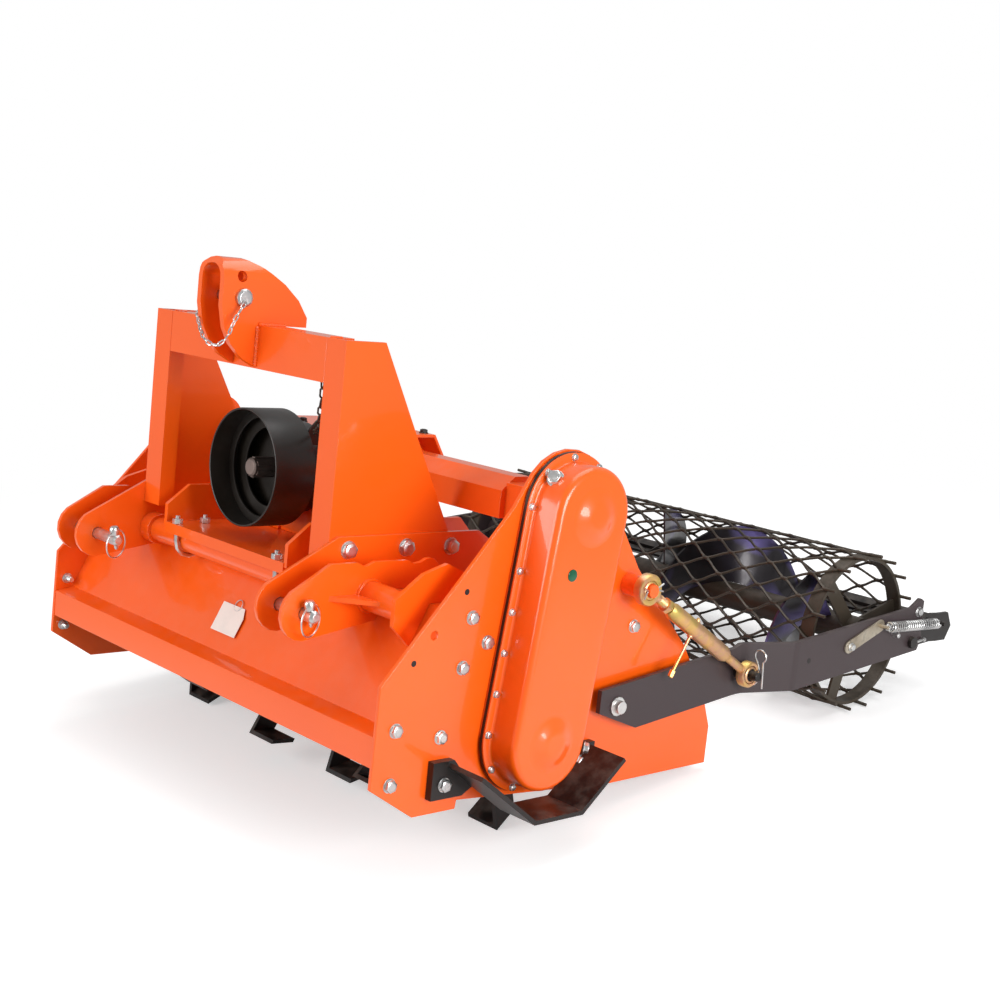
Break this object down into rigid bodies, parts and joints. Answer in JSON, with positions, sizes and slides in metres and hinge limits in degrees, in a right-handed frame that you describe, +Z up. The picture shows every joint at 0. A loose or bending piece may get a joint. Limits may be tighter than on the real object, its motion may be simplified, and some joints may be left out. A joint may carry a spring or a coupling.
{
  "type": "stone burier, three-point tractor implement",
  "caption": "Three-point tractor implement: a tined rotor under a sheet hood with a side chain case, a sieve grid and board, and a mesh roller on two height-set arms.",
  "frame": {"origin": "on the floor, under the middle of the machine's box", "axes": "+X towards the chain case side, +Y to the rear (away from the tractor), +Z up"},
  "size_m": [1.29, 1.6242, 1.001],
  "materials": {
    "orange_paint": "gloss orange enamel, lightly dusty",
    "dark_paint": "satin dark brown-grey enamel",
    "black_enamel": "satin black enamel",
    "bright_zinc": "bright zinc plate",
    "yellow_zinc": "yellow chromated zinc",
    "cast_grey": "matt grey casting",
    "flight_steel": "blue-violet mill sheen"
  },
  "bodies": {
    "machine": {"upright_left": "orange_paint", "upright_right": "orange_paint", "cross_beam": "orange_paint", "upper_link_bracket": "orange_paint", "upper_link_pin": "bright_zinc", "inner_ear_left": "orange_paint", "inner_ear_right": "orange_paint", "outer_ear_left": "orange_paint", "outer_ear_right": "orange_paint", "lower_link_pin_left": "bright_zinc", "lower_link_pin_right": "bright_zinc", "hood": "orange_paint", "side_plate_left": "orange_paint", "side_plate_right": "orange_paint", "chain_case_tray": "orange_paint", "chain_case_cover": "orange_paint", "gearbox": "cast_grey", "gearbox_base": "orange_paint", "mount_tube": "orange_paint", "u_bolt_left": "bright_zinc", "u_bolt_right": "bright_zinc", "shaft_guard": "black_enamel", "shaft_cover": "orange_paint", "tie_tube_left": "orange_paint", "skid_left": "black_enamel", "skid_right": "black_enamel", "rotor_bearing_left": "black_enamel", "sieve_grid": "black_enamel", "board_hinge_rod": "bright_zinc", "arm_pivot_left": "bright_zinc", "arm_pivot_right": "bright_zinc", "upper_eye_pin_left": "bright_zinc", "upper_eye_pin_right": "bright_zinc"},
    "input_shaft": {"input_shaft": "bright_zinc"},
    "rotor": {"rotor": "black_enamel"},
    "levelling_board": {"levelling_board": "orange_paint"},
    "roller_arms": {"arm_left": "dark_paint", "arm_right": "dark_paint", "lower_eye_pin_left": "bright_zinc", "lower_eye_pin_right": "bright_zinc", "scraper_pin_left": "bright_zinc", "scraper_pin_right": "bright_zinc", "spring_lever_left": "bright_zinc", "spring_lever_right": "bright_zinc", "spring_left": "bright_zinc", "spring_right": "bright_zinc"},
    "roller": {"roller_core": "dark_paint", "roller_mesh": "dark_paint", "flight_left": "flight_steel", "flight_right": "flight_steel"},
    "scraper": {"scraper": "black_enamel"},
    "turnbuckle_left": {"turnbuckle_left": "yellow_zinc"},
    "turnbuckle_right": {"turnbuckle_right": "yellow_zinc"},
    "turnbuckle_rod_left": {"turnbuckle_rod_left": "yellow_zinc"},
    "turnbuckle_rod_right": {"turnbuckle_rod_right": "yellow_zinc"}
  },
  "joints": [
    {"name": "rotor_spin", "type": "hinge", "parent": "machine", "child": "rotor", "pos_m": [0, -0.43512, 0.20995], "axis": [1, 0, 0], "continuous": true},
    {"name": "input_shaft_spin", "type": "hinge", "parent": "machine", "child": "input_shaft", "pos_m": [0, -0.62432, 0.61598], "axis": [0, 0.9898, -0.1422], "continuous": true},
    {"name": "levelling_board_swing", "type": "hinge", "parent": "machine", "child": "levelling_board", "pos_m": [0, -0.01057, 0.21868], "axis": [1, 0, 0], "range_deg": [0, 25]},
    {"name": "roller_height", "type": "hinge", "parent": "machine", "child": "roller_arms", "pos_m": [0, -0.22511, 0.20909], "axis": [1, 0, 0], "range_deg": [-7, 7]},
    {"name": "roller_spin", "type": "hinge", "parent": "roller_arms", "child": "roller", "pos_m": [0, 0.54207, 0.16961], "axis": [1, 0, 0], "continuous": true},
    {"name": "scraper_swing", "type": "hinge", "parent": "roller_arms", "child": "scraper", "pos_m": [0, 0.63213, 0.14253], "axis": [1, 0, 0], "range_deg": [-20, 0], "stiffness_Nm_per_rad": 60, "springref_deg": 20.05},
    {"name": "turnbuckle_left_swing", "type": "hinge", "parent": "machine", "child": "turnbuckle_left", "pos_m": [0, -0.17432, 0.42203], "axis": [1, 0, 0], "range_deg": [-6, 6]},
    {"name": "turnbuckle_left_length", "type": "slide", "parent": "turnbuckle_left", "child": "turnbuckle_rod_left", "axis": [0, 0.7829, -0.6222], "range_m": [-0.026, 0.026]},
    {"name": "turnbuckle_right_swing", "type": "hinge", "parent": "machine", "child": "turnbuckle_right", "pos_m": [0, -0.17432, 0.42203], "axis": [1, 0, 0], "range_deg": [-6, 6]},
    {"name": "turnbuckle_right_length", "type": "slide", "parent": "turnbuckle_right", "child": "turnbuckle_rod_right", "axis": [0, 0.7829, -0.6222], "range_m": [-0.026, 0.026]}
  ],
  "couplings": [
    {"joint": "input_shaft_spin", "follows": "rotor_spin", "ratio": 2.3},
    {"joint": "turnbuckle_left_swing", "follows": "roller_height", "ratio": 0.75113},
    {"joint": "turnbuckle_left_length", "follows": "roller_height", "m_per_rad": -0.19809},
    {"joint": "turnbuckle_right_swing", "follows": "roller_height", "ratio": 0.75113},
    {"joint": "turnbuckle_right_length", "follows": "roller_height", "m_per_rad": -0.19809}
  ]
}
